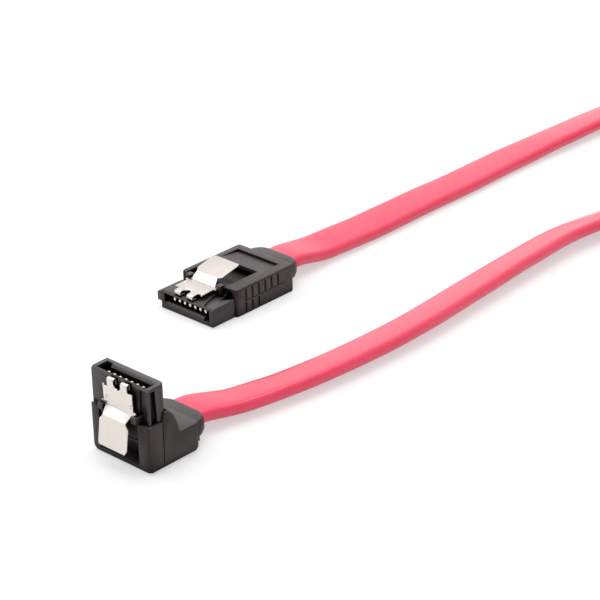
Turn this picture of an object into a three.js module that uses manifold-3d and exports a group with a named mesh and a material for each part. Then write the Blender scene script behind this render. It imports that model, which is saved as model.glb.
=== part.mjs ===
// A flat SATA data cable with a straight and an angled latching plug, in millimetres, +Z up.
// The origin is the middle of the straight plug's underside; its nose points along -Y.
import * as THREE from "three";
import { mergeVertices } from "three/addons/utils/BufferGeometryUtils.js";
import Module from "manifold-3d";

// Insulator, measured from the mating face (y), the plug's middle (x) and its rest plane (z).
const CONTACTS = 7;
const PITCH = 1.27;
const NOSE_HALF_WIDTH = 6.3;
const NOSE_BOTTOM = 0.2;
const NOSE_TOP = 3.6;
const SLOT_LEFT = -5.6;
const SLOT_RIGHT = 5.5;
const SLOT_LOW = 1.54;
const SLOT_HIGH = 3.2;
const SLOT_DEPTH = 6.6;
const KEY_WIDTH = 1.4;
const KEY_LOW = 0.9;
const MOUTH_CHAMFER = 0.4;
const RAIL_OUT = 0.95;
const RAIL_LOW = 1.45;
const RAIL_HIGH = 3.08;
const RECESS_LEFT = 4.2;
const RECESS_RIGHT = 5.95;
const CORE_HALF_WIDTH = 5.6;
const CORE_LOW = 0.7;
const CORE_HIGH = 3.1;

// Contacts.
const CONTACT_WIDTH = 0.56;
const CONTACT_THICKNESS = 0.2;
const CONTACT_BASE = 2.75;
const CONTACT_TIP = 0.78;
const CONTACT_CLEARANCE = 0.06;
const TAIL_LENGTH = 0.8;

// Latch leaf, measured from the nose's latch face (h) and the leaf's own middle (x), which is
// set off from the plug's middle.
const LEAF = 0.25;
const PLATE_HEIGHT = 1.0;
const PRONG_GAP_TO_NOSE = 0.15;
const PRONG_INNER = 0.8;
const PRONG_OUTER = 2.2;
const PLATE_HALF_WIDTH = 3.22;
const EAR_HALF_WIDTH = 3.7;
const EAR_FRONT = 4.3;
const EAR_REAR = 5.65;
const SHOULDER = 1.4;
const RAMP_FOOT = 5.0;
const RAMP_RUN = 1.15;
const RAMP_RISE = 1.2;
const RAMP_HALF_WIDTH = 2.87;
const FOLD_HALF_WIDTH = 2.5;
const PAD_HALF_WIDTH = 3.15;
const PAD_END = 11.1;
const PAD_SLOPE = THREE.MathUtils.degToRad(10);
const BUMP_RADIUS = 0.5;
const BUMP_HEIGHT = 0.32;
const LEDGE_CLEARANCE = 0.15;
const LEDGE_THICKNESS = 0.35;
const LEDGE_REACH = 0.55;
const LEDGE_POST = 0.4;

// Hoods.
const FIT = 0.1;
const HOOD_HALF_WIDTH = 6.7;
const EDGE = 0.35;
const POCKET_END = 13.5;
const BRIDGE_FRONT = 6.3;
const BRIDGE_END = 9.3;
const BOOT_HALF_WIDTH = 5.5;
const BOOT_LENGTH = 3.9;
const BOOT_LOW = 1.2;
const BOOT_HIGH = 4.6;
const BOOT_CORNER = 3.0;
const BOOT_ROUNDING = 1.1;
const SOCKET_DEPTH = 3.0;

// Straight plug.
const STRAIGHT = {
  noseLength: 5.4,
  coreEnd: 11.2,
  tailDrop: 0,
  pocket: [-5.5, 4.1],
  bridgeTop: 0.8,
  rearPocketFront: 9.4,
  rearPocketFloor: 3.5,
  latchOffset: -0.82,
  latchTilt: THREE.MathUtils.degToRad(2.5),
};
const STRAIGHT_HOOD_FRONT = 5.5;
const STRAIGHT_HOOD_REAR = 20;
const STRAIGHT_HOOD_HEIGHT = 5.35;

// Angled plug, whose nose stands up with the latch on its front.
const ANGLED = {
  noseLength: 6.1,
  coreEnd: 9.9,
  tailDrop: 3.4,
  pocket: [-4.0, 4.7],
  bridgeTop: 0.3,
  rearPocketFront: 10.4,
  rearPocketFloor: 1.9,
  latchOffset: -0.42,
  latchTilt: THREE.MathUtils.degToRad(-2),
};
const ANGLED_X = 27.73;
const ANGLED_Y = -54.05;
const ANGLED_HEIGHT = 14.57;
const ANGLED_LATCH_FACE = 0.5;
const ANGLED_HOOD_DEPTH = 10.4;
const ANGLED_COLLAR = 8.3;
const ANGLED_BACK_TOP = 9.9;
const ANGLED_BLOCK = 5.3;
const FOOT_CORNER = 1.2;

// Cable: a flat jacket that lies on the table, rolls on to its edge and makes one loop.
const CABLE_WIDTH = 7.5;
const CABLE_THICKNESS = 2.4;
const CABLE_EDGE = 0.75;
const CABLE_EXIT = 2.9;
const CABLE_STEPS = 80;
const ROLL_EASE = 0.04;
const SOCKET_CLEARANCE = 0.2;
const END_GAP = 0.3;
const STRAP_Y = 145;
const STRAP_X = 13.5;
const STRAP_LENGTH = 5;
const STRAP_THICKNESS = 0.9;
const STRAP_CLEARANCE = 0.4;
const NECK = 4;
const RUN_GAP = 0.4;
const VEER_RADIUS = 20;
const LOOP_RADIUS = 23;

const wasm = await Module();
wasm.setup();
const MERGE_DISTANCE = 1e-4;

function solid(geometry) {
  const bare = geometry.clone();
  bare.deleteAttribute("normal");
  bare.deleteAttribute("uv");
  const merged = mergeVertices(bare, MERGE_DISTANCE);
  return new wasm.Manifold(
    new wasm.Mesh({
      numProp: 3,
      vertProperties: merged.attributes.position.array,
      triVerts: new Uint32Array(merged.index.array),
    }),
  );
}

function geometryOf(shape) {
  const mesh = shape.getMesh();
  const geometry = new THREE.BufferGeometry();
  geometry.setAttribute("position", new THREE.BufferAttribute(mesh.vertProperties, 3));
  geometry.setIndex(new THREE.BufferAttribute(mesh.triVerts, 1));
  geometry.computeVertexNormals();
  return geometry;
}

function moved(shape, matrix) {
  return solid(geometryOf(shape).applyMatrix4(matrix));
}

function joined(shapes) {
  return shapes.reduce((whole, shape) => whole.add(shape));
}

function less(shape, cuts) {
  return cuts.reduce((rest, cut) => rest.subtract(cut), shape);
}

function block([x0, x1], [y0, y1], [z0, z1]) {
  const geometry = new THREE.BoxGeometry(x1 - x0, y1 - y0, z1 - z0);
  return solid(geometry.translate((x0 + x1) / 2, (y0 + y1) / 2, (z0 + z1) / 2));
}

function outline(points) {
  return new THREE.Shape(points.map(([a, b]) => new THREE.Vector2(a, b)));
}

function roundedOutline([a0, a1], [b0, b1], radius) {
  const shape = new THREE.Shape();
  shape.absarc(a1 - radius, b1 - radius, radius, 0, Math.PI / 2);
  shape.absarc(a0 + radius, b1 - radius, radius, Math.PI / 2, Math.PI);
  shape.absarc(a0 + radius, b0 + radius, radius, Math.PI, 1.5 * Math.PI);
  shape.absarc(a1 - radius, b0 + radius, radius, 1.5 * Math.PI, 2 * Math.PI);
  return shape;
}

const X = new THREE.Vector3(1, 0, 0);
const Y = new THREE.Vector3(0, 1, 0);
const Z = new THREE.Vector3(0, 0, 1);

// A shape drawn in (y, z) and extruded along x.
function alongX(shape, [x0, x1], bevel = 0) {
  const basis = new THREE.Matrix4().makeBasis(Y, Z, X);
  return solid(extruded(shape, x1 - x0, bevel).applyMatrix4(basis).translate(x0, 0, 0));
}

// A shape drawn in (x, z) and extruded along y.
function alongY(shape, [y0, y1], bevel = 0) {
  const basis = new THREE.Matrix4().makeBasis(X, Z, Y.clone().negate());
  return solid(extruded(shape, y1 - y0, bevel).applyMatrix4(basis).translate(0, y1, 0));
}

// A shape drawn in (x, y) and extruded along z.
function alongZ(shape, [z0, z1], bevel = 0) {
  return solid(extruded(shape, z1 - z0, bevel).translate(0, 0, z0));
}

const CURVE_SEGMENTS = 5;
const BEVEL_SEGMENTS = 2;

function extruded(shape, depth, bevel) {
  const geometry = new THREE.ExtrudeGeometry(shape, {
    depth: depth - 2 * bevel,
    bevelEnabled: bevel > 0,
    bevelThickness: bevel,
    bevelSize: bevel,
    bevelOffset: -bevel,
    bevelSegments: BEVEL_SEGMENTS,
    curveSegments: CURVE_SEGMENTS,
  });
  return geometry.translate(0, 0, bevel);
}

// The outline of a sheet of the given thickness that follows a line, mitred at its bends.
function sheetOutline(line, thickness) {
  const sides = [[], []];
  line.forEach((point, i) => {
    const here = new THREE.Vector2(...point);
    const last = new THREE.Vector2(...line[Math.max(i - 1, 0)]);
    const next = new THREE.Vector2(...line[Math.min(i + 1, line.length - 1)]);
    const before = here.clone().sub(last).normalize();
    const after = next.clone().sub(here).normalize();
    const along = before.clone().add(after).normalize();
    const turn = before.length() && after.length() ? Math.sqrt((1 + before.dot(after)) / 2) : 1;
    const reach = thickness / 2 / turn;
    sides[0].push([here.x - along.y * reach, here.y + along.x * reach]);
    sides[1].unshift([here.x + along.y * reach, here.y - along.x * reach]);
  });
  return outline([...sides[0], ...sides[1]]);
}

const insulatorPlastic = new THREE.MeshStandardMaterial({ color: 0x2b2928, roughness: 0.5 });
const hoodPlastic = new THREE.MeshStandardMaterial({ color: 0x343130, roughness: 0.62 });
const contactGold = new THREE.MeshStandardMaterial({ color: 0xe8c878, roughness: 0.25, metalness: 1 });
const latchSteel = new THREE.MeshStandardMaterial({ color: 0xd9d5cf, roughness: 0.3, metalness: 1 });
const jacketVinyl = new THREE.MeshStandardMaterial({ color: 0xe8516a, roughness: 0.45 });
const strapFabric = new THREE.MeshStandardMaterial({ color: 0x26262a, roughness: 0.9 });

function piece(name, shape, material) {
  const mesh = new THREE.Mesh(geometryOf(shape), material);
  mesh.name = name;
  return mesh;
}

// Where contact i stands across the plug.
function contactX(i) {
  return (i - (CONTACTS - 1) / 2) * PITCH;
}

// The centre line of a contact in (y, z): curled tip, touching bump, spring beam and seated base.
function contactLine(plug) {
  const curl = 0.42;
  const curlMiddle = [CONTACT_TIP + curl, CONTACT_BASE - CONTACT_THICKNESS / 2 - curl];
  const line = [-100, -145, 180, 135, 90].map((degrees) => {
    const angle = THREE.MathUtils.degToRad(degrees);
    return [curlMiddle[0] + curl * Math.cos(angle), curlMiddle[1] + curl * Math.sin(angle)];
  });
  line.push([2.2, CONTACT_BASE - 0.35], [SLOT_DEPTH, CONTACT_BASE]);
  if (!plug.tailDrop) return [...line, [plug.coreEnd + TAIL_LENGTH, CONTACT_BASE]];
  const tailY = plug.coreEnd - 2 * TAIL_LENGTH / 3;
  return [...line, [tailY, CONTACT_BASE], [tailY, CONTACT_BASE - plug.tailDrop]];
}

function contact(plug, i) {
  const half = CONTACT_WIDTH / 2;
  const shape = sheetOutline(contactLine(plug), CONTACT_THICKNESS);
  return alongX(shape, [contactX(i) - half, contactX(i) + half]);
}

// The channels that the contacts are pressed into, through the core behind the slot.
function contactChannels(plug) {
  const half = CONTACT_WIDTH / 2 + CONTACT_CLEARANCE;
  const wide = CONTACT_THICKNESS + 2 * CONTACT_CLEARANCE;
  const end = plug.tailDrop ? plug.coreEnd : plug.coreEnd + TAIL_LENGTH + FIT;
  const line = contactLine(plug).slice(-2 - (plug.tailDrop ? 1 : 0));
  line[0] = [SLOT_DEPTH - FIT, CONTACT_BASE];
  if (!plug.tailDrop) line[1] = [end, CONTACT_BASE];
  const shape = sheetOutline(line, wide);
  return Array.from({ length: CONTACTS }, (_, i) =>
    alongX(shape, [contactX(i) - half, contactX(i) + half]),
  );
}

// Height of the leaf's top face over the latch face at distance y, on a leaf tilted about its bend.
function leafTop(plug, y) {
  return PLATE_HEIGHT + (y - bendCentre().y) * Math.tan(plug.latchTilt);
}

// The middle of the leaf's front bend, which the leaf turns about.
function bendCentre() {
  const bendRadius = (PLATE_HEIGHT - PRONG_GAP_TO_NOSE) / 2;
  return { y: bendRadius + FIT / 2, h: PRONG_GAP_TO_NOSE + bendRadius, radius: bendRadius - LEAF / 2 };
}

// Insulator: nose, core, bridge under the leaf and the two ledges over the leaf's ears.
function insulator(plug, side) {
  const across = [-NOSE_HALF_WIDTH, NOSE_HALF_WIDTH];
  const chamfer = MOUTH_CHAMFER;
  const noseProfile = outline([
    [0, NOSE_BOTTOM],
    [plug.noseLength, NOSE_BOTTOM],
    [plug.noseLength, NOSE_TOP],
    [chamfer, NOSE_TOP],
    [0, NOSE_TOP - chamfer],
  ]);
  const [pocketLeft, pocketRight] = [plug.pocket[0] + FIT, plug.pocket[1] - FIT];
  const bridgeTop = NOSE_TOP + plug.bridgeTop;
  const bridgeSlope = 0.35;
  const bridgeProfile = outline([
    [plug.noseLength - FIT, CORE_HIGH - FIT],
    [BRIDGE_END, CORE_HIGH - FIT],
    [BRIDGE_END, bridgeTop - bridgeSlope],
    [BRIDGE_FRONT + FIT, bridgeTop],
    [BRIDGE_FRONT + FIT, NOSE_TOP],
    [plug.noseLength - FIT, NOSE_TOP],
  ]);
  const body = joined([
    alongX(noseProfile, across),
    block(
      [-CORE_HALF_WIDTH, CORE_HALF_WIDTH],
      [plug.noseLength - FIT, plug.coreEnd],
      [CORE_LOW, CORE_HIGH],
    ),
    alongX(bridgeProfile, [pocketLeft, pocketRight]),
    ...side.added(plug),
  ]);
  const lip = 0.38;
  const mouthProfile = outline([
    [-FIT, SLOT_LOW - lip],
    [0, SLOT_LOW - lip],
    [lip, SLOT_LOW],
    [SLOT_DEPTH, SLOT_LOW],
    [SLOT_DEPTH, SLOT_HIGH],
    [-FIT, SLOT_HIGH],
  ]);
  const hollowed = less(body, [
    alongX(mouthProfile, [SLOT_LEFT, SLOT_RIGHT]),
    block([SLOT_RIGHT - KEY_WIDTH, SLOT_RIGHT], [-FIT, SLOT_DEPTH], [KEY_LOW, SLOT_HIGH]),
    ...contactChannels(plug),
    ...prongReliefs(plug),
    ...side.cut(plug),
  ]);
  return joined([hollowed, ledge(plug, -1), ledge(plug, 1)]);
}

// Shallow reliefs in the nose's front edge under the leaf's two prongs.
function prongReliefs(plug) {
  const depth = 0.22;
  const margin = 0.12;
  return [-1, 1].map((hand) => {
    const edges = [hand * (PRONG_INNER - margin), hand * (PRONG_OUTER + margin)];
    const across = edges.map((x) => plug.latchOffset + x).sort((a, b) => a - b);
    return block(across, [-FIT, SHOULDER], [NOSE_TOP - depth, NOSE_TOP + FIT]);
  });
}

// An L-shaped post that holds one ear of the leaf down.
function ledge(plug, hand) {
  const earSide = EAR_HALF_WIDTH + LEDGE_CLEARANCE;
  const under = NOSE_TOP + leafTop(plug, EAR_REAR) + LEDGE_CLEARANCE;
  const top = under + LEDGE_THICKNESS;
  const front = EAR_REAR - 0.8;
  const rear = EAR_REAR + 0.35;
  const post = [earSide, earSide + LEDGE_POST];
  const arm = [EAR_HALF_WIDTH - LEDGE_REACH, post[1]];
  const placed = (edges) => edges.map((x) => plug.latchOffset + hand * x).sort((a, b) => a - b);
  return joined([
    block(placed(post), [front, rear], [SLOT_HIGH, top]),
    block(placed(arm), [front, rear], [under, top]),
  ]);
}

// The straight nose has a bevelled rail on its left and an open tapered recess on its right.
const straightSide = {
  added(plug) {
    const inner = -NOSE_HALF_WIDTH + FIT;
    const outer = -NOSE_HALF_WIDTH - RAIL_OUT;
    const rail = outline([
      [inner, RAIL_LOW],
      [outer, RAIL_LOW],
      [outer, RAIL_HIGH],
      [-NOSE_HALF_WIDTH, NOSE_TOP - MOUTH_CHAMFER / 2],
      [inner, NOSE_TOP - MOUTH_CHAMFER / 2],
    ]);
    return [alongY(rail, [0, plug.noseLength - FIT])];
  },
  cut(plug) {
    const rear = plug.noseLength + FIT;
    const shallow = [
      [3.95, 0.3],
      [3.15, 2.2],
      [2.65, 3.9],
      [2.6, rear],
      [RECESS_RIGHT, rear],
      [RECESS_RIGHT, 5.2],
      [4.4, 3.2],
      [4.35, 0.3],
    ];
    const through = [
      [RECESS_LEFT, 1.6],
      [RECESS_LEFT, rear],
      [RECESS_RIGHT, rear],
      [RECESS_RIGHT, 5.2],
      [5.05, 4.3],
      [4.45, 3.2],
    ];
    return [
      alongZ(outline(shallow), [NOSE_TOP - 0.28, NOSE_TOP + FIT]),
      alongZ(outline(through), [SLOT_HIGH - FIT, NOSE_TOP + FIT]),
    ];
  },
};

// The angled nose has one groove in its latch face and one in its end face, with a rib between.
const angledSide = {
  added() {
    return [];
  },
  cut(plug) {
    const front = 0.55;
    const end = plug.noseLength + FIT;
    const edge = -NOSE_HALF_WIDTH;
    const faceGroove = outline([
      [edge + 0.75, front],
      [edge + 1.9, front],
      [edge + 2.2, end],
      [edge + 0.4, end],
    ]);
    const endGroove = outline([
      [front, NOSE_TOP - 1.35],
      [end, NOSE_TOP - 1.6],
      [end, NOSE_TOP - 0.3],
      [front, NOSE_TOP - 0.4],
    ]);
    const grooveDepth = 0.3;
    const rounding = outline([
      [edge - FIT, NOSE_BOTTOM - FIT],
      [edge + 0.9, NOSE_BOTTOM - FIT],
      [edge + 0.2, NOSE_BOTTOM + 0.2],
      [edge - FIT, NOSE_BOTTOM + 0.9],
    ]);
    return [
      alongY(rounding, [-FIT, plug.noseLength - FIT]),
      alongZ(faceGroove, [NOSE_TOP - grooveDepth, NOSE_TOP + FIT]),
      alongX(endGroove, [edge - FIT, edge + 0.6]),
    ];
  },
};

// Latch leaf about its bend centre: two prongs, plate, ears, ramp and thumb pad.
function latch() {
  const bend = bendCentre();
  const legEnd = 0.6;
  const bendSteps = 8;
  const mid = PLATE_HEIGHT - LEAF / 2 - bend.h;
  const foldY = RAMP_FOOT + RAMP_RUN - bend.y;
  const fold = mid + RAMP_RISE;
  const padY = PAD_END - bend.y;
  const line = [[legEnd, -bend.radius]];
  for (let i = 0; i <= bendSteps; i += 1) {
    const angle = -Math.PI / 2 - (Math.PI * i) / bendSteps;
    line.push([bend.radius * Math.cos(angle), bend.radius * Math.sin(angle)]);
  }
  line.push(
    [RAMP_FOOT - bend.y, mid],
    [foldY, fold],
    [padY, fold + (padY - foldY) * Math.tan(PAD_SLOPE)],
  );
  const sheet = alongX(sheetOutline(line, LEAF), [-EAR_HALF_WIDTH, EAR_HALF_WIDTH]);
  const tall = [-PAD_END, PAD_END];
  const ears = [-1, 1].map((hand) => {
    const x = [hand * (RAMP_HALF_WIDTH + FIT), hand * EAR_HALF_WIDTH].sort((a, b) => a - b);
    return block(x, [EAR_FRONT - bend.y, EAR_REAR - bend.y], [mid - LEAF / 2, mid + LEAF / 2]);
  });
  const bumps = [-1, 1].map((hand) => {
    const sides = 10;
    const cone = new THREE.CylinderGeometry(BUMP_RADIUS / 2, BUMP_RADIUS, BUMP_HEIGHT, sides);
    cone.rotateX(Math.PI / 2);
    return solid(cone.translate(hand * 2.65, 3.45 - bend.y, mid + LEAF / 2 + BUMP_HEIGHT / 2 - FIT));
  });
  return joined([sheet.intersect(alongZ(leafPlan(bend.y), tall)), ...ears, ...bumps]);
}

// The leaf's outline seen from above, with a notch between the prongs and a relief beside the right one.
function leafPlan(bendY) {
  const front = -1;
  const shoulder = SHOULDER - bendY;
  const notch = shoulder + 0.2;
  const relief = 0.34;
  const foot = RAMP_FOOT - bendY;
  const fold = foot + RAMP_RUN;
  const padFront = fold + 0.75;
  const padEnd = PAD_END - bendY + 0.5;
  const corner = 0.8;
  const shape = new THREE.Shape();
  shape.moveTo(-PRONG_OUTER, front);
  shape.lineTo(-PRONG_OUTER, shoulder);
  shape.lineTo(-PLATE_HALF_WIDTH, shoulder - FIT);
  shape.lineTo(-PLATE_HALF_WIDTH, foot - 0.35);
  shape.lineTo(-RAMP_HALF_WIDTH, foot);
  shape.lineTo(-FOLD_HALF_WIDTH, fold);
  shape.lineTo(-PAD_HALF_WIDTH, padFront);
  shape.lineTo(-PAD_HALF_WIDTH, padEnd - 0.5 - corner);
  shape.lineTo(-PAD_HALF_WIDTH + corner, padEnd);
  shape.lineTo(PAD_HALF_WIDTH - corner / 2, padEnd);
  shape.lineTo(PAD_HALF_WIDTH, padEnd - 0.5 - corner / 2);
  shape.lineTo(PAD_HALF_WIDTH, padFront);
  shape.lineTo(FOLD_HALF_WIDTH, fold);
  shape.lineTo(RAMP_HALF_WIDTH, foot);
  shape.lineTo(PLATE_HALF_WIDTH, foot - 0.35);
  shape.lineTo(PLATE_HALF_WIDTH, shoulder);
  shape.absarc(PRONG_OUTER + relief, shoulder, relief, 0, Math.PI, false);
  shape.lineTo(PRONG_OUTER, front);
  shape.lineTo(PRONG_INNER, front);
  shape.lineTo(PRONG_INNER, notch - PRONG_INNER);
  shape.absarc(0, notch - PRONG_INNER, PRONG_INNER, 0, Math.PI, false);
  shape.lineTo(-PRONG_INNER, front);
  return shape;
}

// The strain relief behind a hood's rear face, with the socket that the cable's end sits in.
function boot(rear) {
  const overlap = BOOT_CORNER + 0.4;
  const shape = roundedOutline(
    [-BOOT_HALF_WIDTH, BOOT_HALF_WIDTH],
    [rear - overlap, rear + BOOT_LENGTH],
    BOOT_CORNER,
  );
  return alongZ(shape, [BOOT_LOW, BOOT_HIGH], BOOT_ROUNDING);
}

function cableSocket(rear) {
  const half = CABLE_WIDTH / 2 + SOCKET_CLEARANCE;
  const rise = CABLE_THICKNESS / 2 + SOCKET_CLEARANCE;
  return block(
    [-half, half],
    [rear + BOOT_LENGTH - SOCKET_DEPTH, rear + BOOT_LENGTH + FIT],
    [CABLE_EXIT - rise, CABLE_EXIT + rise],
  );
}

// What is open inside a hood, in the nose's frame: the core's seat, the tails' room and the latch pocket.
function hoodInside(plug, top) {
  const [left, right] = plug.pocket;
  const tailRoom = plug.tailDrop ? FIT : TAIL_LENGTH + 3 * FIT;
  const cuts = [
    block(
      [-CORE_HALF_WIDTH - FIT, CORE_HALF_WIDTH + FIT],
      [0, plug.coreEnd + tailRoom],
      [CORE_LOW - FIT, CORE_HIGH + FIT],
    ),
    block([left, right], [0, BRIDGE_END + FIT], [CORE_HIGH - FIT, top]),
    block([left, right], [BRIDGE_END, POCKET_END], [Math.max(plug.rearPocketFloor, CORE_HIGH + FIT), top]),
    block([left, right], [plug.rearPocketFront, POCKET_END], [plug.rearPocketFloor, top]),
  ];
  if (plug.tailDrop) {
    const span = ((CONTACTS - 1) / 2) * PITCH + CONTACT_WIDTH;
    const tailY = plug.coreEnd - 2 * TAIL_LENGTH / 3;
    const low = CONTACT_BASE - plug.tailDrop - 3 * FIT;
    cuts.push(block([-span, span], [tailY - 3 * FIT, tailY + 3 * FIT], [low, CORE_LOW]));
  }
  return cuts;
}

// Straight hood: a low block with grip grooves down its sides and a sloped thumb panel on top.
function straightHood() {
  const [front, rear, top] = [STRAIGHT_HOOD_FRONT, STRAIGHT_HOOD_REAR, STRAIGHT_HOOD_HEIGHT];
  const across = [-HOOD_HALF_WIDTH, HOOD_HALF_WIDTH];
  const body = alongZ(roundedOutline(across, [front, rear], 0.55), [0, top], EDGE);
  const panel = outline([
    [POCKET_END + 0.4, top],
    [POCKET_END + 0.4, top + FIT],
    [rear - 1.8, top + FIT],
    [rear - 1.8, top - 0.5],
  ]);
  const panelAcross = [-HOOD_HALF_WIDTH + 1.5, HOOD_HALF_WIDTH - 1.9];
  const [pocketLeft, pocketRight] = STRAIGHT.pocket;
  const undercut = block(
    [pocketLeft + 0.4, pocketRight - 0.4],
    [POCKET_END - FIT, POCKET_END + 1.8],
    [STRAIGHT.rearPocketFloor, top - 0.7],
  );
  const archRadius = 1.45;
  const archDepth = 1.8;
  const arch = new THREE.CylinderGeometry(archRadius, archRadius, 2 * archDepth, 20);
  arch.translate(RECESS_RIGHT - archRadius, front, NOSE_TOP);
  return less(joined([body, boot(rear)]), [
    ...hoodInside(STRAIGHT, top + 1),
    alongX(panel, panelAcross),
    undercut,
    solid(arch),
    ...gripGrooves(),
    cableSocket(rear),
  ]);
}

// Grip grooves down both sides of the straight hood, over and under its parting line.
function gripGrooves() {
  const first = 7.85;
  const pitch = 1.61;
  const width = 0.5;
  const depth = 0.15;
  const parting = 2.6;
  const grooves = [];
  for (const hand of [-1, 1]) {
    const x = [hand * (HOOD_HALF_WIDTH - depth), hand * (HOOD_HALF_WIDTH + FIT)].sort((a, b) => a - b);
    for (let i = 0; i < 6; i += 1) {
      const y = [first + i * pitch - width / 2, first + i * pitch + width / 2];
      grooves.push(block(x, y, [parting, STRAIGHT_HOOD_HEIGHT - 0.5]));
      if (i < 3) grooves.push(block(x, y, [0.45, parting - 0.25]));
    }
    const shallow = [hand * (HOOD_HALF_WIDTH - depth / 2), hand * (HOOD_HALF_WIDTH + FIT)];
    grooves.push(block(shallow.sort((a, b) => a - b), [first, 18], [parting, parting + depth]));
  }
  return grooves;
}

// The turn that stands the nose up: its mating face points up and its latch face points forwards.
const STAND_UP = new THREE.Matrix4()
  .makeBasis(new THREE.Vector3(-1, 0, 0), new THREE.Vector3(0, 0, -1), new THREE.Vector3(0, -1, 0))
  .setPosition(0, ANGLED_LATCH_FACE + NOSE_TOP, ANGLED_HEIGHT);

// Angled hood: a collar round the latch window in front and a faired block behind it.
function angledHood() {
  const depth = ANGLED_HOOD_DEPTH;
  const noseBack = ANGLED_LATCH_FACE + NOSE_TOP - NOSE_BOTTOM;
  const side = new THREE.Shape();
  side.moveTo(0, 0);
  side.lineTo(depth, 0);
  side.lineTo(depth, ANGLED_BLOCK);
  side.lineTo(noseBack + 2.5, ANGLED_BLOCK);
  side.quadraticCurveTo(noseBack + 1.9, ANGLED_BACK_TOP - 1.2, noseBack + 0.3, ANGLED_BACK_TOP);
  side.lineTo(3.3, ANGLED_BACK_TOP);
  side.lineTo(2.85, ANGLED_COLLAR);
  side.lineTo(0, ANGLED_COLLAR);
  const half = HOOD_HALF_WIDTH;
  const face = new THREE.Shape();
  face.absarc(-half + FOOT_CORNER, FOOT_CORNER, FOOT_CORNER, Math.PI, 1.5 * Math.PI);
  face.absarc(half - FOOT_CORNER, FOOT_CORNER, FOOT_CORNER, 1.5 * Math.PI, 2 * Math.PI);
  face.lineTo(half, ANGLED_HEIGHT);
  face.lineTo(-half, ANGLED_HEIGHT);
  const body = alongX(side, [-half, half], EDGE).intersect(alongY(face, [0, depth], 2 * EDGE));
  const nub = block([half - 1.5, half - 0.6], [depth - EDGE, depth + 0.5], [1.5, 2.5]);
  const noseSeat = block(
    [-NOSE_HALF_WIDTH - FIT, NOSE_HALF_WIDTH + FIT],
    [0, ANGLED.noseLength + FIT],
    [NOSE_BOTTOM - FIT, NOSE_TOP + 3],
  );
  const inside = hoodInside(ANGLED, NOSE_TOP + 3);
  const partingGroove = [-1, 1].map((hand) => {
    const x = [hand * (HOOD_HALF_WIDTH - 0.12), hand * (HOOD_HALF_WIDTH + FIT)].sort((a, b) => a - b);
    return block(x, [2.65, 2.85], [1.3, ANGLED_COLLAR + 0.2]);
  });
  return less(joined([body, nub, boot(depth)]), [
    ...[noseSeat, ...inside].map((shape) => moved(shape, STAND_UP)),
    ...partingGroove,
    cableSocket(depth),
  ]);
}

function plugPieces(prefix, plug, side) {
  const group = new THREE.Group();
  group.add(piece(`${prefix}_insulator`, insulator(plug, side), insulatorPlastic));
  for (let i = 0; i < CONTACTS; i += 1) {
    group.add(piece(`${prefix}_contact_${i + 1}`, contact(plug, i), contactGold));
  }
  const leaf = piece(`${prefix}_latch`, latch(), latchSteel);
  leaf.position.set(plug.latchOffset, bendCentre().y, NOSE_TOP + bendCentre().h);
  leaf.rotation.x = plug.latchTilt;
  group.add(leaf);
  return group;
}

const straightY = -(STRAIGHT_HOOD_FRONT + STRAIGHT_HOOD_REAR) / 2;
const straight = plugPieces("straight", STRAIGHT, straightSide);
straight.add(piece("straight_hood", straightHood(), hoodPlastic));
straight.position.y = straightY;

const angledNose = plugPieces("angled", ANGLED, angledSide);
angledNose.applyMatrix4(STAND_UP);
const angled = new THREE.Group();
angled.add(angledNose, piece("angled_hood", angledHood(), hoodPlastic));
angled.position.set(ANGLED_X, ANGLED_Y, 0);

// Half the height of the jacket when it is rolled about its length, eased where it lies flat.
function halfHeight(roll) {
  const tipped = Math.hypot(Math.sin(roll), ROLL_EASE);
  return (CABLE_WIDTH * tipped + CABLE_THICKNESS * Math.abs(Math.cos(roll))) / 2;
}

// The cable's stations from the straight plug to the strap: x, y, roll in degrees and lift off the table.
const straightEnd = straightY + STRAIGHT_HOOD_REAR + BOOT_LENGTH - SOCKET_DEPTH + END_GAP;
const flatLift = CABLE_EXIT - halfHeight(0);
const strapLift = STRAP_THICKNESS + STRAP_CLEARANCE;
const runOffset = (CABLE_THICKNESS + RUN_GAP) / 2;
const OUTWARD_RUN = [
  [0, straightEnd, 0, flatLift],
  [0, straightEnd + 4, 0, flatLift],
  [0.35, 22, -5, 0.3],
  [0.6, 35, -5, 0],
  [0.4, 48, -3.3, 0],
  [0.5, 62, -1, 0],
  [0.3, 77, 0.3, 0],
  [0.9, 92, 6, 0],
  [1.7, 107, 9, 0],
  [3.4, 118, 26, 0],
  [7.0, 127, 52, 0.1],
  [10.4, 134, 76, 0.5],
  [STRAP_X - runOffset, STRAP_Y - STRAP_LENGTH, 90, strapLift],
];
const RETURN_RUN = [
  [STRAP_X + runOffset, STRAP_Y - STRAP_LENGTH, 90, strapLift],
  [16.9, 132, 97, 0.5],
  [21.4, 121, 112, 0.1],
  [27.4, 110, 127, 0],
  [32.8, 98, 140, 0],
  [35.4, 86, 150, 0],
  [35.3, 75, 157, 0],
  [33.6, 65, 161, 0],
  [31.7, 54, 163, 0],
  [32.0, 39, 164, 0],
  [32.85, 24, 166.5, 0],
  [33.8, 8, 167.3, 0],
  [33.65, -2, 169, 0],
  [33.1, -11, 169, 0],
  [31.8, -21, 170, 0],
  [30.0, -30, 173, 0.3],
  [ANGLED_X, ANGLED_Y + ANGLED_HOOD_DEPTH + BOOT_LENGTH + 1, 180, flatLift],
  [ANGLED_X, ANGLED_Y + ANGLED_HOOD_DEPTH + BOOT_LENGTH - SOCKET_DEPTH + END_GAP, 180, flatLift],
];

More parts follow.
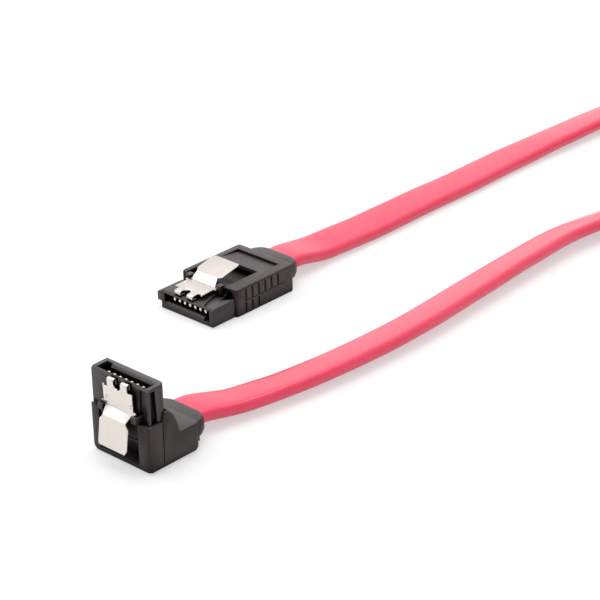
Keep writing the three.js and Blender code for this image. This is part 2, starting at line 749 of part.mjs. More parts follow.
// One loop on edge from the strap round and back to it: two veers of one radius and an arc of another.
function loopStations() {
  const stations = [];
  const veerCentre = runOffset + VEER_RADIUS;
  const veer = Math.acos(veerCentre / (VEER_RADIUS + LOOP_RADIUS));
  const startY = STRAP_Y + NECK;
  const centreY = startY + (VEER_RADIUS + LOOP_RADIUS) * Math.sin(veer);
  const veerSteps = 3;
  const arcSteps = 12;
  for (let i = 0; i < veerSteps; i += 1) {
    const angle = (veer * i) / veerSteps;
    const x = VEER_RADIUS * Math.cos(angle) - veerCentre;
    stations.push([x, startY + VEER_RADIUS * Math.sin(angle)]);
  }
  for (let i = 0; i <= arcSteps; i += 1) {
    const angle = Math.PI + veer - ((Math.PI + 2 * veer) * i) / arcSteps;
    stations.push([LOOP_RADIUS * Math.cos(angle), centreY + LOOP_RADIUS * Math.sin(angle)]);
  }
  for (let i = veerSteps - 1; i >= 0; i -= 1) {
    stations.push([-stations[i][0], stations[i][1]]);
  }
  return stations.map(([x, y]) => {
    const nearStrap = Math.max(0, 1 - (y - startY) / VEER_RADIUS);
    return [STRAP_X + x, y, 90, strapLift * nearStrap];
  });
}

// A route for a flat cable: it lies on the table at each station, turned about its length by the roll.
class FlatRoute extends THREE.Curve {
  constructor(stations) {
    super();
    this.plan = new THREE.CatmullRomCurve3(stations.map(([x, y]) => new THREE.Vector3(x, y, 0)));
    this.stations = stations;
    this.arcLengthDivisions = 1200;
  }

  // Roll in radians and lift in millimetres, eased between stations.
  lay(t) {
    const place = t * (this.stations.length - 1);
    const i = Math.min(Math.floor(place), this.stations.length - 2);
    const part = THREE.MathUtils.smoothstep(place - i, 0, 1);
    const [from, to] = [this.stations[i], this.stations[i + 1]];
    return {
      roll: THREE.MathUtils.degToRad(THREE.MathUtils.lerp(from[2], to[2], part)),
      lift: THREE.MathUtils.lerp(from[3], to[3], part),
    };
  }

  getPoint(t, target = new THREE.Vector3()) {
    const { roll, lift } = this.lay(t);
    return target.copy(this.plan.getPoint(t)).setZ(halfHeight(roll) + lift);
  }

  computeFrenetFrames(steps) {
    const frames = { tangents: [], normals: [], binormals: [] };
    for (let i = 0; i <= steps; i += 1) {
      const tangent = this.getTangentAt(i / steps);
      const across = new THREE.Vector3().crossVectors(tangent, Z).normalize();
      const { roll } = this.lay(this.getUtoTmapping(i / steps));
      const normal = across.applyAxisAngle(tangent, -roll);
      frames.tangents.push(tangent);
      frames.normals.push(normal);
      frames.binormals.push(new THREE.Vector3().crossVectors(tangent, normal));
    }
    return frames;
  }
}

const cableRoute = new FlatRoute([...OUTWARD_RUN, ...loopStations(), ...RETURN_RUN]);

function cableSection() {
  const [a, b, c] = [CABLE_WIDTH / 2, CABLE_THICKNESS / 2, CABLE_EDGE];
  const soft = c * 0.3;
  const corner = [
    [a, b - c],
    [a - soft, b - soft],
    [a - c, b],
  ];
  const turned = [
    ...corner,
    ...corner.map(([x, y]) => [-x, y]).reverse(),
    ...corner.map(([x, y]) => [-x, -y]),
    ...corner.map(([x, y]) => [x, -y]).reverse(),
  ];
  return outline(turned);
}

const jacket = solid(
  new THREE.ExtrudeGeometry(cableSection(), {
    steps: CABLE_STEPS,
    extrudePath: cableRoute,
    bevelEnabled: false,
  }),
);

// The strap goes once round both runs where they stand side by side, and laps over itself on top.
function strap() {
  const inX = runOffset + CABLE_THICKNESS / 2 + STRAP_CLEARANCE;
  const inTop = strapLift + CABLE_WIDTH + STRAP_CLEARANCE;
  const outX = inX + STRAP_THICKNESS;
  const band = roundedOutline([-outX, outX], [0, inTop + STRAP_THICKNESS], 1.2);
  const hole = roundedOutline([-inX, inX], [STRAP_THICKNESS, inTop], 0.5);
  const lapTop = inTop + 1.9 * STRAP_THICKNESS;
  const lap = roundedOutline([-inX, outX], [inTop, lapTop], 0.8 * STRAP_THICKNESS);
  const across = [STRAP_Y - STRAP_LENGTH / 2, STRAP_Y + STRAP_LENGTH / 2];
  const ring = less(alongY(band, across).add(alongY(lap, across)), [
    alongY(hole, [across[0] - FIT, across[1] + FIT]),
  ]);
  return moved(ring, new THREE.Matrix4().makeTranslation(STRAP_X, 0, 0));
}

const cable = new THREE.Group();
cable.add(straight, angled);
cable.add(piece("cable_jacket", jacket, jacketVinyl), piece("cable_strap", strap(), strapFabric));

export default cable;
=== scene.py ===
import math

import bmesh
import bpy
from mathutils import Matrix, Vector


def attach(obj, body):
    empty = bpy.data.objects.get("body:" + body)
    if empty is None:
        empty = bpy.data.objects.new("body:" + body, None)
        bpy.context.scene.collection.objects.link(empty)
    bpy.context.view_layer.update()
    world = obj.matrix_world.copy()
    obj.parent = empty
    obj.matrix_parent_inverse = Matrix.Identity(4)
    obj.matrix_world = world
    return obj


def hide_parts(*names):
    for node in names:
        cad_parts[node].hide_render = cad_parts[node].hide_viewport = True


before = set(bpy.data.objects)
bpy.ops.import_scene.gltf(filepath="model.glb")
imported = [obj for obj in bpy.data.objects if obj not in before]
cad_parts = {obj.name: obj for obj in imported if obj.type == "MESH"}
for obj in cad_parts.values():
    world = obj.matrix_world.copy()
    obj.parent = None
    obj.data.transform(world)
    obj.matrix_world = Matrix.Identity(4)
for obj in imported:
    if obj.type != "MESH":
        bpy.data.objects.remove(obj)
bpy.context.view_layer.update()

bpy.context.scene.view_settings.view_transform = "Standard"


# The photographer's camera stands in front of the plugs, above the table and to the right.
# It looks along both plugs towards the cable, with a slight roll.
camera_data = bpy.data.cameras.new("photo_camera")
camera_data.sensor_width = 36.0
focal_length_in_pixels = 2221.35
photo_width_in_pixels = 600
camera_data.lens = focal_length_in_pixels / photo_width_in_pixels * camera_data.sensor_width
camera_data.clip_start = 0.01
camera_data.clip_end = 20.0
camera = bpy.data.objects.new("photo_camera", camera_data)
bpy.context.scene.collection.objects.link(camera)
yaw, pitch, roll = (math.radians(angle) for angle in (43.523, 26.152, -1.437))
looking = Vector(
    (-math.sin(yaw) * math.cos(pitch), math.cos(yaw) * math.cos(pitch), -math.sin(pitch))
)
level = looking.cross(Vector((0, 0, 1))).normalized()
upright = level.cross(looking)
rightward = level * math.cos(roll) + upright * math.sin(roll)
upward = upright * math.cos(roll) - level * math.sin(roll)
camera_place = (0.251733, -0.249305, 0.172363)
camera_turn = Matrix((rightward, upward, -looking)).transposed().to_4x4()
camera.matrix_world = Matrix.Translation(camera_place) @ camera_turn
bpy.context.scene.camera = camera


# The cable is one flat extruded vinyl jacket over two screened pairs, pushed into each plug's
# boot before moulding. It lies flat on the table, rolls on to its edge, and makes one loop.
# Sizes are in millimetres, up to the finished points.
jacket_width = 7.5
jacket_thickness = 2.4
boot_exit_height = 2.9
angled_x = 27.73
strap_middle = (13.5, 145.0)
strap_grip = 5.0
run_offset = 1.4
strap_lift = 1.3
neck = 4.0
veer_radius = 20.0
loop_radius = 23.0
roll_ease = 0.04


def height_of_half(angle):
    """Half the height that the jacket takes up when it is rolled by this angle."""
    tipped = math.hypot(math.sin(angle), roll_ease)
    return (jacket_width * tipped + jacket_thickness * abs(math.cos(angle))) / 2


flat_lift = boot_exit_height - height_of_half(0)
# Each station gives x and y, the roll in degrees, and the lift off the table.
stations = [
    (0, 8.45, 0, flat_lift),
    (0, 12.45, 0, flat_lift),
    (0.35, 22, -5, 0.3),
    (0.6, 35, -5, 0),
    (0.4, 48, -3.3, 0),
    (0.5, 62, -1, 0),
    (0.3, 77, 0.3, 0),
    (0.9, 92, 6, 0),
    (1.7, 107, 9, 0),
    (3.4, 118, 26, 0),
    (7.0, 127, 52, 0.1),
    (10.4, 134, 76, 0.5),
    (strap_middle[0] - run_offset, strap_middle[1] - strap_grip, 90, strap_lift),
]
veer_middle = run_offset + veer_radius
veer = math.acos(veer_middle / (veer_radius + loop_radius))
loop_start = strap_middle[1] + neck
loop_middle = loop_start + (veer_radius + loop_radius) * math.sin(veer)
veer_steps = 3
veer_points = []
for step in range(veer_steps):
    angle = veer * step / veer_steps
    veer_points.append(
        (veer_radius * math.cos(angle) - veer_middle, loop_start + veer_radius * math.sin(angle))
    )
arc_steps = 12
arc_points = []
for step in range(arc_steps + 1):
    angle = math.pi + veer - (math.pi + 2 * veer) * step / arc_steps
    arc_points.append((loop_radius * math.cos(angle), loop_middle + loop_radius * math.sin(angle)))
for x, y in veer_points + arc_points + [(-x, y) for x, y in reversed(veer_points)]:
    near_strap = max(0, 1 - (y - loop_start) / veer_radius)
    stations.append((strap_middle[0] + x, y, 90, strap_lift * near_strap))
stations += [
    (strap_middle[0] + run_offset, strap_middle[1] - strap_grip, 90, strap_lift),
    (16.9, 132, 97, 0.5),
    (21.4, 121, 112, 0.1),
    (27.4, 110, 127, 0),
    (32.8, 98, 140, 0),
    (35.4, 86, 150, 0),
    (35.3, 75, 157, 0),
    (33.6, 65, 161, 0),
    (31.7, 54, 163, 0),
    (32.0, 39, 164, 0),
    (32.85, 24, 166.5, 0),
    (33.8, 8, 167.3, 0),
    (33.65, -2, 169, 0),
    (33.1, -11, 169, 0),
    (31.8, -21, 170, 0),
    (30.0, -30, 173, 0.3),
    (angled_x, -38.75, 180, flat_lift),
    (angled_x, -42.45, 180, flat_lift),
]


def plan_point(place):
    """A point on the smooth line through the stations, at a place counted in stations."""
    i = min(int(place), len(stations) - 2)
    part = place - i
    flat = [Vector((s[0], s[1])) for s in stations]
    start, end = flat[i], flat[i + 1]
    before = flat[i - 1] if i else 2 * flat[0] - flat[1]
    after = flat[i + 2] if i + 2 < len(flat) else 2 * flat[-1] - flat[-2]
    pairs = ((before, start), (start, end), (end, after))
    first, middle, last = (math.sqrt((b - a).length) for a, b in pairs)
    straight_on = (end - start) / middle
    leave = (start - before) / first - (end - before) / (first + middle) + straight_on
    reach = straight_on - (after - start) / (middle + last) + (after - end) / last
    leave *= middle
    reach *= middle
    cubic = 2 * start - 2 * end + leave + reach
    square = -3 * start + 3 * end - 2 * leave - reach
    return start + leave * part + square * part**2 + cubic * part**3


def route_point(place):
    """Centre of the jacket in metres, with its roll in radians."""
    i = min(int(place), len(stations) - 2)
    part = place - i
    eased = part * part * (3 - 2 * part)
    angle = math.radians(stations[i][2] + (stations[i + 1][2] - stations[i][2]) * eased)
    lift = stations[i][3] + (stations[i + 1][3] - stations[i][3]) * eased
    x, y = plan_point(place)
    return Vector((x, y, height_of_half(angle) + lift)) / 1000, angle


fine_steps = 30
fine_count = fine_steps * (len(stations) - 1)
fine = [route_point(step / fine_steps) for step in range(fine_count + 1)]
run_lengths = [0.0]
for (a, _), (b, _) in zip(fine, fine[1:]):
    run_lengths.append(run_lengths[-1] + (b - a).length)
jacket_length = run_lengths[-1]

# The rings of the jacket stand at equal distances along the route.
ring_count = 620
rings = []
cursor = 0
for ring in range(ring_count + 1):
    target = jacket_length * ring / ring_count
    while cursor < len(run_lengths) - 2 and run_lengths[cursor + 1] < target:
        cursor += 1
    share = (target - run_lengths[cursor]) / (run_lengths[cursor + 1] - run_lengths[cursor])
    (a, roll_a), (b, roll_b) = fine[cursor], fine[cursor + 1]
    rings.append((a.lerp(b, share), roll_a + (roll_b - roll_a) * share))

# The jacket's section is flat, with round edges and slightly crowned faces.
corner = 0.95
crown = 0.09
half_face = jacket_width / 2 - corner
corner_steps = 5
section = []
for quarter in range(4):
    for step in range(corner_steps + 1):
        angle = math.radians(90 * quarter + 90 / corner_steps * step)
        x = half_face * (1 if quarter in (0, 3) else -1) + corner * math.cos(angle)
        drop = jacket_thickness / 2 - crown - corner
        section.append((x, drop * (1 if quarter in (0, 1) else -1) + corner * math.sin(angle)))
    if quarter in (0, 2):
        side = 1 if quarter == 0 else -1
        for share in (0.75, 0.5, 0.25, 0, -0.25, -0.5, -0.75):
            height = jacket_thickness / 2 - crown * share**2
            section.append((side * share * half_face, side * height))
around = [0.0]
for (ax, ay), (bx, by) in zip(section, section[1:] + section[:1]):
    around.append(around[-1] + math.hypot(bx - ax, by - ay) / 1000)

jacket_mesh = bmesh.new()
jacket_rings = []
for ring, (centre, angle) in enumerate(rings):
    ahead = rings[min(ring + 1, ring_count)][0] - rings[max(ring - 1, 0)][0]
    ahead.normalize()
    across = ahead.cross(Vector((0, 0, 1))).normalized()
    across = Matrix.Rotation(-angle, 3, ahead) @ across
    out_of_face = across.cross(ahead)
    jacket_rings.append(
        [jacket_mesh.verts.new(centre + (across * x + out_of_face * y) / 1000) for x, y in section]
    )
jacket_uv = jacket_mesh.loops.layers.uv.new("jacket_metres")
sides = len(section)
for ring in range(ring_count):
    along = (jacket_length * ring / ring_count, jacket_length * (ring + 1) / ring_count)
    for side in range(sides):
        after = (side + 1) % sides
        face = jacket_mesh.faces.new(
            (
                jacket_rings[ring][side],
                jacket_rings[ring + 1][side],
                jacket_rings[ring + 1][after],
                jacket_rings[ring][after],
            )
        )
        face.smooth = True
        corners = (
            (along[0], around[side]),
            (along[1], around[side]),
            (along[1], around[side + 1]),
            (along[0], around[side + 1]),
        )
        for loop, corner_uv in zip(face.loops, corners):
            loop[jacket_uv].uv = corner_uv
jacket_mesh.faces.new(jacket_rings[0])
jacket_mesh.faces.new(list(reversed(jacket_rings[-1])))
bmesh.ops.recalc_face_normals(jacket_mesh, faces=jacket_mesh.faces)
jacket_data = bpy.data.meshes.new("red_jacket")
jacket_mesh.to_mesh(jacket_data)
jacket_mesh.free()
jacket = bpy.data.objects.new("red_jacket", jacket_data)
bpy.context.scene.collection.objects.link(jacket)


class Wiring:
    """The shader nodes of a surface or of the room, with short ways to add and feed them."""

    def __init__(self, tree):
        self.nodes = tree.nodes
        self.links = tree.links

    def node(self, kind, inputs=None, **settings):
        made = self.nodes.new(kind)
        for name, value in settings.items():
            setattr(made, name, value)
        for name, value in (inputs or {}).items():
            if isinstance(value, bpy.types.NodeSocket):
                self.links.new(value, made.inputs[name])
            else:
                made.inputs[name].default_value = value
        return made

    def greater(self, first, second):
        values = {0: first, 1: second}
        return self.node("ShaderNodeMath", values, operation="MAXIMUM").outputs["Value"]

    def seen(self):
        """One where the eye meets it directly, mirrored or through something clear, else nought."""
        rays = self.node("ShaderNodeLightPath").outputs
        mirrored_too = self.greater(rays["Is Camera Ray"], rays["Is Glossy Ray"])
        return self.greater(mirrored_too, rays["Is Transmission Ray"])


class Finish(Wiring):
    """A material, with the patterns that its surface needs."""

    painted_shade_tone = (0.003, 0.0022, 0.0022, 1)

    def __init__(self, name):
        self.material = bpy.data.materials.new(name)
        self.material.use_nodes = True
        super().__init__(self.material.node_tree)
        self.shader = self.nodes["Principled BSDF"]

    def place(self, scale=(1, 1, 1), uv=None):
        if uv:
            source = self.node("ShaderNodeUVMap", uv_map=uv).outputs["UV"]
        else:
            source = self.node("ShaderNodeTexCoord").outputs["Object"]
        return self.node("ShaderNodeMapping", {"Vector": source, "Scale": scale}).outputs["Vector"]

    def noise(self, vector, scale, detail=3.0, roughness=0.55):
        values = {"Vector": vector, "Scale": scale, "Detail": detail, "Roughness": roughness}
        return self.node("ShaderNodeTexNoise", values).outputs["Fac"]

    def ramp(self, factor, stops):
        made = self.node("ShaderNodeValToRGB", {"Fac": factor})
        elements = made.color_ramp.elements
        while len(elements) < len(stops):
            elements.new(0.5)
        for element, (position, colour) in zip(elements, stops):
            element.position = position
            element.color = colour if len(colour) == 4 else (*colour, 1)
        return made.outputs["Color"]

    def spread(self, factor, low, high):
        values = {"Value": factor, "To Min": low, "To Max": high}
        return self.node("ShaderNodeMapRange", values).outputs["Result"]

    def bump(self, height, strength, distance, under=None):
        values = {"Height": height, "Strength": strength, "Distance": distance}
        if under:
            values["Normal"] = under
        return self.node("ShaderNodeBump", values).outputs["Normal"]

    def mixed(self, first, second, share):
        """The first colour, turned into the second by the share."""
        values = {"Factor": share, "A": first, "B": second}
        return self.node("ShaderNodeMix", values, data_type="RGBA").outputs["Result"]

    def openness(self, reach):
        """White on an open face, falling to black deep in a pocket or a slot; it masks the painted
        shade.
        """
        nearby = self.node("ShaderNodeAmbientOcclusion", {"Distance": reach}, samples=8)
        return self.ramp(nearby.outputs["AO"], [(0.3, (0, 0, 0)), (0.82, (1, 1, 1))])

    def edge_wear_and_painted_highlight(self, colour, edge):
        """The colour, turned paler on sharp edges: partly wear from handling, partly a painted
        highlight along the rounded edges.
        """
        sharpness = self.node("ShaderNodeNewGeometry").outputs["Pointiness"]
        share = self.ramp(sharpness, [(0.53, (0, 0, 0)), (0.63, (0.6, 0.6, 0.6))])
        return self.mixed(colour, edge, share)

    def painted_top_sheen(self, colour, sheen_tone):
        """The colour, painted paler in patches where the surface faces up: a painted sheen of the
        light from above.
        """
        facing = self.node("ShaderNodeNewGeometry").outputs["Normal"]
        height = self.node("ShaderNodeSeparateXYZ", {"Vector": facing}).outputs["Z"]
        lying = self.ramp(height, [(0.5, (0, 0, 0)), (0.97, (1, 1, 1))])
        patchy = self.spread(self.noise(self.place(), 700.0, 4.0, 0.6), 0.7, 1.0)
        sheen_share = self.node("ShaderNodeMath", {0: lying, 1: patchy}, operation="MULTIPLY")
        return self.mixed(colour, sheen_tone, sheen_share.outputs["Value"])

    def with_painted_shade(self, colour, openness):
        """The colour, darkened with painted shade where the surface lies deep."""
        return self.mixed(self.painted_shade_tone, colour, openness)

    def set(self, **values):
        for name, value in values.items():
            socket = self.shader.inputs[name.replace("_", " ")]
            if isinstance(value, bpy.types.NodeSocket):
                self.links.new(value, socket)
            else:
                socket.default_value = value


# Soft glossy vinyl: fine drawn lines run along it, and handling has left it slightly uneven.
vinyl = Finish("red_vinyl")
drawn = vinyl.noise(vinyl.place((30, 7000, 1), "jacket_metres"), 1.0, 3.0)
cloudy = vinyl.noise(vinyl.place((90, 300, 1), "jacket_metres"), 1.0, 4.0)
waves = vinyl.noise(vinyl.place((260, 420, 1), "jacket_metres"), 1.0, 2.0)
scuffs = vinyl.noise(vinyl.place((900, 2600, 1), "jacket_metres"), 1.0, 5.0, 0.7)
vinyl_wavy = vinyl.bump(waves, 0.12, 0.00010)
vinyl_drawn = vinyl.bump(drawn, 0.12, 0.00004, vinyl_wavy)
vinyl.set(
    Base_Color=vinyl.ramp(cloudy, [(0.3, (0.89, 0.024, 0.09)), (0.7, (0.95, 0.034, 0.12))]),
    Roughness=vinyl.spread(scuffs, 0.24, 0.36),
    Normal=vinyl.bump(scuffs, 0.1, 0.00003, vinyl_drawn),
    IOR=1.52,
    Coat_Weight=0.5,
    Coat_Roughness=0.16,
    Subsurface_Weight=0.06,
    Subsurface_Radius=(0.002, 0.0006, 0.0006),
)
jacket_data.materials.append(vinyl.material)
jacket["finish"] = "red_vinyl"
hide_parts("cable_jacket")
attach(jacket, "cable")


# Each hood is moulded over the end of the cable in one shot of dark plastic with a fine sparked
# grain, and its edges are slightly rounded by the mould.
merge_distance = 2e-6
flat_angle = math.radians(0.8)
sharp_angle = math.radians(32)


def softened(node, width, name, finish, segments=2):
    """A merged copy of a CAD node with rounded edges and a finish, in place of the node."""
    shell = bmesh.new()
    shell.from_mesh(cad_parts[node].data)
    bmesh.ops.remove_doubles(shell, verts=shell.verts, dist=merge_distance)
    bmesh.ops.dissolve_limit(
        shell, angle_limit=flat_angle, verts=shell.verts, edges=shell.edges
    )
    for face in shell.faces:
        face.smooth = True
    data = bpy.data.meshes.new(name)
    shell.to_mesh(data)
    shell.free()
    data.materials.clear()
    data.materials.append(finish.material)
    piece = bpy.data.objects.new(name, data)
    bpy.context.scene.collection.objects.link(piece)
    rounding = piece.modifiers.new("rounding", "BEVEL")
    rounding.width = width / 1000
    rounding.segments = segments
    rounding.limit_method = "ANGLE"
    rounding.angle_limit = sharp_angle
    rounding.use_clamp_overlap = True
    rounding.harden_normals = True
    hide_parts(node)
    return piece


grained = Finish("grained_black_plastic")
grain = grained.noise(grained.place(), 5200.0, 3.0, 0.6)
pits = grained.noise(grained.place(), 1500.0, 2.0)
wear = grained.noise(grained.place(), 260.0, 5.0, 0.65)
scratches = grained.noise(grained.place(), 1300.0, 6.0, 0.7)
dull_tone = grained.ramp(wear, [(0.3, (0.0155, 0.0085, 0.0085)), (0.72, (0.024, 0.0145, 0.0145))])
scratched = grained.ramp(scratches, [(0.6, (0, 0, 0)), (0.72, (0.5, 0.5, 0.5))])
scratched_tone = grained.mixed(dull_tone, (0.075, 0.062, 0.06, 1), scratched)
# Sharp edges of the hood are turned paler: partly handling wear, partly a painted highlight.
edge_worn_and_lit_tone = grained.edge_wear_and_painted_highlight(scratched_tone, (0.07, 0.056, 0.055, 1))
# Faces of the hood that look up are painted paler: a painted sheen of the light from above.
top_sheen_hood_tone = grained.painted_top_sheen(edge_worn_and_lit_tone, (0.092, 0.077, 0.078, 1))
# Pockets and grooves of the hood get painted shade: their colour darkens and their reflections fade
# where the surface lies deep.
hood_openness = grained.openness(0.004)
grained.set(
    Base_Color=grained.with_painted_shade(top_sheen_hood_tone, hood_openness),
    Roughness=grained.spread(wear, 0.32, 0.44),
    Normal=grained.bump(grain, 0.35, 0.00003, grained.bump(pits, 0.12, 0.00006)),
    IOR=1.46,
    Specular_IOR_Level=grained.spread(hood_openness, 0.0, 0.3),
)
for plug in ("straight", "angled"):
    hood = softened(f"{plug}_hood", 0.13, f"{plug}_moulded_hood", grained, 3)
    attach(hood, "cable")


# The insulator is moulded before the hood, in a harder and smoother plastic. It carries the
# contacts in its slot, and the latch under its two ledges.
smooth_plastic = Finish("smooth_black_plastic")
flow = smooth_plastic.noise(smooth_plastic.place((1, 3, 1)), 420.0, 4.0)
moulded_tone = smooth_plastic.ramp(
    flow, [(0.3, (0.017, 0.0105, 0.0112)), (0.7, (0.025, 0.017, 0.0178))]
)
skin = smooth_plastic.noise(smooth_plastic.place(), 6500.0, 2.0)
# Sharp edges of the insulator, such as the slot's lip, are turned paler: a painted highlight.
edge_highlight_tone = smooth_plastic.edge_wear_and_painted_highlight(moulded_tone, (0.05, 0.042, 0.043, 1))
# Faces of the insulator that look up are painted paler: a painted sheen of the light from above.
top_sheen_insulator_tone = smooth_plastic.painted_top_sheen(edge_highlight_tone, (0.1, 0.087, 0.09, 1))
# The slot and other hollows of the insulator get painted shade: their colour darkens and their
# reflections fade there.
slot_openness = smooth_plastic.openness(0.003)
smooth_plastic.set(
    Base_Color=smooth_plastic.with_painted_shade(top_sheen_insulator_tone, slot_openness),
    Roughness=smooth_plastic.spread(flow, 0.32, 0.46),
    Normal=smooth_plastic.bump(skin, 0.18, 0.00002),
    IOR=1.5,
    Specular_IOR_Level=smooth_plastic.spread(slot_openness, 0.0, 0.38),
)
for plug in ("straight", "angled"):
    insulator = softened(f"{plug}_insulator", 0.1, f"{plug}_moulded_insulator", smooth_plastic)
    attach(insulator, "cable")


# Seven stamped contacts stand side by side in each slot. Each is a thin plated spring with a
# curled tip, pressed from behind into its own channel, and the row repeats at one pitch.
plating = Finish("contact_plating")
stamped = plating.noise(plating.place((1, 0.15, 1)), 2600.0, 3.0)
plating.set(
    Base_Color=plating.ramp(stamped, [(0.3, (0.88, 0.74, 0.46)), (0.7, (0.97, 0.89, 0.7))]),
    Roughness=plating.spread(stamped, 0.14, 0.28),
    Normal=plating.bump(stamped, 0.1, 0.00002),
    Metallic=1.0,
)
contact_count = 7
contact_pitch = 1.27
contact_half_width = 0.28
contact_half_thickness = 0.1
contact_height = 2.75
contact_tip = 0.78
contact_edge = 0.04
curl_radius = 0.42
curl_start = -100
curl_turn = 170
curl_steps = 12
tip_narrowing = 0.72
slot_depth = 6.6
nose_top = 3.6
straight_front_y = -12.75
straight_core_end = 11.2
angled_front_y = -54.05
angled_latch_inset = 0.5
angled_height = 14.57
angled_core_end = 9.9
tail_length = 0.8
tail_bend = 0.12
tail_drop = 3.4

row_tree = bpy.data.node_groups.new("contact_row", "GeometryNodeTree")
row_tree.is_modifier = True
row_tree.interface.new_socket("Contact", in_out="INPUT", socket_type="NodeSocketGeometry")
count_input = row_tree.interface.new_socket("Count", in_out="INPUT", socket_type="NodeSocketInt")
pitch_input = row_tree.interface.new_socket("Pitch", in_out="INPUT", socket_type="NodeSocketVector")
row_tree.interface.new_socket("Row", in_out="OUTPUT", socket_type="NodeSocketGeometry")
row_in = row_tree.nodes.new("NodeGroupInput")
row_line = row_tree.nodes.new("GeometryNodeMeshLine")
row_copies = row_tree.nodes.new("GeometryNodeInstanceOnPoints")
row_real = row_tree.nodes.new("GeometryNodeRealizeInstances")
row_finish = row_tree.nodes.new("GeometryNodeSetMaterial")
row_finish.inputs["Material"].default_value = plating.material
row_out = row_tree.nodes.new("NodeGroupOutput")
for source, target in (
    (row_in.outputs["Contact"], row_copies.inputs["Instance"]),
    (row_in.outputs["Count"], row_line.inputs["Count"]),
    (row_in.outputs["Pitch"], row_line.inputs["Offset"]),
    (row_line.outputs["Mesh"], row_copies.inputs["Points"]),
    (row_copies.outputs["Instances"], row_real.inputs["Geometry"]),
    (row_real.outputs["Geometry"], row_finish.inputs["Geometry"]),
    (row_finish.outputs["Geometry"], row_out.inputs["Row"]),
):
    row_tree.links.new(source, target)


def contact_row(plug, tail, to_world):
    """One row of contacts: the first contact's strip, repeated along the row by the node tree."""
    middle = contact_height - contact_half_thickness - curl_radius
    line = []
    for step in range(curl_steps + 1):
        angle = math.radians(curl_start - curl_turn * step / curl_steps)
        inward = contact_tip + curl_radius * (1 + math.cos(angle))
        line.append((inward, middle + curl_radius * math.sin(angle)))
    # Behind the curl the strip dips, then rises to its seat at the back of the slot.
    line += [(2.2, contact_height - 0.35), (2.6, contact_height - 0.315)]
    line += [(slot_depth, contact_height), *tail]
    strip = bmesh.new()
    loops = []
    left = -(contact_count - 1) / 2 * contact_pitch
    for here, (y, z) in enumerate(line):
        before = Vector(line[max(here - 1, 0)])
        after = Vector(line[min(here + 1, len(line) - 1)])
        run = (after - before).normalized()
        out = Vector((-run.y, run.x)) * contact_half_thickness
        narrow = tip_narrowing if here == 0 else 1.0
        loop = []
        for side, face in ((-1, 1), (1, 1), (1, -1), (-1, -1)):
            x = left + side * contact_half_width * narrow
            loop.append(strip.verts.new(to_world @ Vector((x, y + face * out.x, z + face * out.y))))
        loops.append(loop)
    for near, far in zip(loops, loops[1:]):
        for i in range(4):
            strip.faces.new((near[i], near[(i + 1) % 4], far[(i + 1) % 4], far[i]))
    strip.faces.new(loops[0])
    strip.faces.new(list(reversed(loops[-1])))
    bmesh.ops.recalc_face_normals(strip, faces=strip.faces)
    square_corner = 1.2
    edges = [edge for edge in strip.edges if edge.calc_face_angle(0) > square_corner]
    bmesh.ops.bevel(strip, geom=edges, offset=contact_edge / 1000, segments=2, affect="EDGES")
    for face in strip.faces:
        face.smooth = True
    data = bpy.data.meshes.new(f"{plug}_contact_strip")
    strip.to_mesh(data)
    strip.free()
    maker = bpy.data.objects.new(f"{plug}_contact_strip", data)
    bpy.context.scene.collection.objects.link(maker)
    rows = maker.modifiers.new("row", "NODES")
    rows.node_group = row_tree
    rows[count_input.identifier] = contact_count
    rows[pitch_input.identifier] = to_world.to_3x3() @ Vector((contact_pitch, 0, 0))
    evaluated = maker.evaluated_get(bpy.context.evaluated_depsgraph_get())
    made = bpy.data.meshes.new_from_object(evaluated)
    made.name = f"{plug}_contact_row"
    row = bpy.data.objects.new(f"{plug}_contact_row", made)
    bpy.context.scene.collection.objects.link(row)
    bpy.data.objects.remove(maker)
    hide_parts(*(f"{plug}_contact_{number}" for number in range(1, contact_count + 1)))
    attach(row, "cable")


millimetres = Matrix.Scale(0.001, 4)
straight_place = millimetres @ Matrix.Translation((0, straight_front_y, 0))
straight_tail = [(straight_core_end + tail_length, contact_height)]
contact_row("straight", straight_tail, straight_place)
stand_up = Matrix(((-1, 0, 0), (0, 0, -1), (0, -1, 0))).to_4x4()
nose_foot_y = angled_front_y + angled_latch_inset + nose_top
angled_spot = Matrix.Translation((angled_x, nose_foot_y, angled_height))
angled_place = millimetres @ angled_spot @ stand_up
tail_end = angled_core_end - 2 * tail_length / 3
angled_tail = [
    (tail_end - tail_bend, contact_height),
    (tail_end, contact_height - tail_bend),
    (tail_end, contact_height - tail_drop),
]
contact_row("angled", angled_tail, angled_place)


# Each latch is one stamped leaf of satin stainless sheet, folded over at its front and kicked up
# into a thumb pad. Its rolling marks run along the strip it was cut from.
sheet_steel = Finish("rolled_sheet_steel")
rolled = sheet_steel.noise(sheet_steel.place((5200, 150, 150)), 1.0, 3.0, 0.5)
handled = sheet_steel.noise(sheet_steel.place(), 330.0, 4.0)
bowed = sheet_steel.noise(sheet_steel.place(), 130.0, 1.0)
rolled_tone = sheet_steel.ramp(rolled, [(0.25, (0.70, 0.645, 0.60)), (0.75, (0.745, 0.69, 0.645))])
sheet_steel.set(
    Base_Color=rolled_tone,
    Roughness=sheet_steel.spread(handled, 0.22, 0.3),
    Normal=sheet_steel.bump(rolled, 0.02, 0.00001, sheet_steel.bump(bowed, 0.12, 0.0005)),
    Metallic=1.0,
)
for plug in ("straight", "angled"):
    latch = softened(f"{plug}_latch", 0.05, f"{plug}_spring_latch", sheet_steel)
    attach(latch, f"{plug}_leaf")


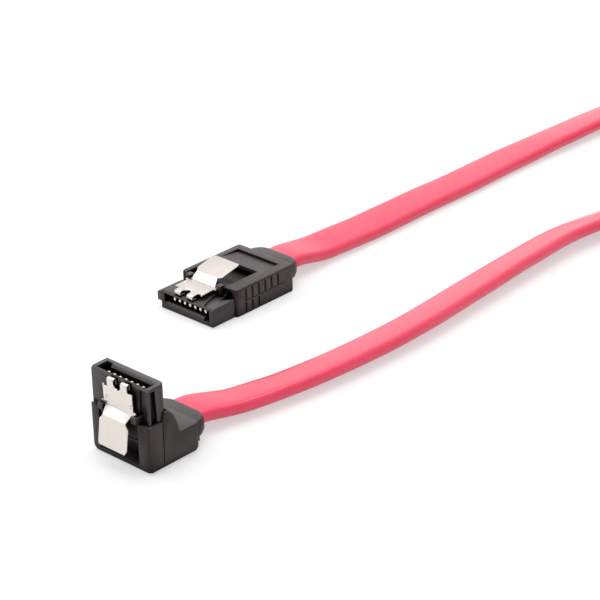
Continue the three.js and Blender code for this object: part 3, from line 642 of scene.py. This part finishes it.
# A short strap of woven hook tape goes once round both runs of the cable and laps over itself.
tape = Finish("woven_strap")
weave = tape.node(
    "ShaderNodeTexWave",
    {"Vector": tape.place(), "Scale": 900.0, "Distortion": 1.5, "Detail": 2.0},
    bands_direction="Y",
).outputs["Fac"]
fibres = tape.noise(tape.place(), 4200.0, 4.0)
tape.set(
    Base_Color=tape.ramp(fibres, [(0.3, (0.01, 0.01, 0.012)), (0.7, (0.03, 0.03, 0.034))]),
    Roughness=0.88,
    Normal=tape.bump(fibres, 0.5, 0.00008, tape.bump(weave, 0.5, 0.0001)),
)
strap = softened("cable_strap", 0.2, "hook_strap", tape)
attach(strap, "cable")


# The table is a plain white sweep, lit by a wide soft box overhead and a smaller one to the left.
# The eye sees the sweep and the room as white paper. What the pieces mirror is brighter towards
# the back of the room than towards its front.
half_side = 3
table_corners = [
    (-half_side, -half_side, 0),
    (half_side, -half_side, 0),
    (half_side, half_side, 0),
    (-half_side, half_side, 0),
]
table_data = bpy.data.meshes.new("table_top")
table_data.from_pydata(table_corners, [], [(0, 1, 2, 3)])
table = bpy.data.objects.new("table_top", table_data)
bpy.context.scene.collection.objects.link(table)
white = Finish("white_sweep")
sweep_fibres = white.noise(white.place(), 900.0, 2.0)
white.set(
    Base_Color=white.ramp(sweep_fibres, [(0.3, (0.53, 0.53, 0.53)), (0.7, (0.55, 0.55, 0.55))]),
    Roughness=0.75,
    Emission_Color=(1, 1, 1, 1),
    Emission_Strength=white.spread(white.seen(), 0.0, 0.49),
)
table_data.materials.append(white.material)

world = bpy.data.worlds.new("studio")
bpy.context.scene.world = world
world.use_nodes = True
backdrop = world.node_tree.nodes["Background"]
backdrop.inputs["Color"].default_value = (1, 1, 1, 1)
room = Wiring(world.node_tree)
towards_back = Vector((-0.6, 0.65, 0.45)).normalized()
direction = room.node("ShaderNodeTexCoord").outputs["Generated"]
facing_back = room.node(
    "ShaderNodeVectorMath", {0: direction, 1: towards_back}, operation="DOT_PRODUCT"
)
mirrored_level = room.node(
    "ShaderNodeMapRange",
    {"Value": facing_back.outputs["Value"], "From Min": -1.0, "To Min": 0.5, "To Max": 1.1},
)
to_the_eye = room.node("ShaderNodeLightPath").outputs["Is Camera Ray"]
seen_level = room.greater(to_the_eye, mirrored_level.outputs["Result"])
room_level = room.node(
    "ShaderNodeMapRange", {"Value": room.seen(), "To Min": 0.7, "To Max": seen_level}
)
room.links.new(room_level.outputs["Result"], backdrop.inputs["Strength"])


def soft_light(name, place, aim, size, power):
    """A square soft box of this size and power, turned towards a point."""
    lamp = bpy.data.lights.new(name, "AREA")
    lamp.shape = "SQUARE"
    lamp.size = size
    lamp.energy = power
    holder = bpy.data.objects.new(name, lamp)
    holder.location = place
    holder.rotation_euler = (Vector(aim) - Vector(place)).to_track_quat("-Z", "Y").to_euler()
    bpy.context.scene.collection.objects.link(holder)


soft_light("side_softbox", (-0.62, -0.42, 0.66), (0.01, -0.02, 0), 0.7, 2.0)
soft_light("overhead_softbox", (-0.2, 0.25, 1.4), (0.01, 0.02, 0), 1.1, 8.0)
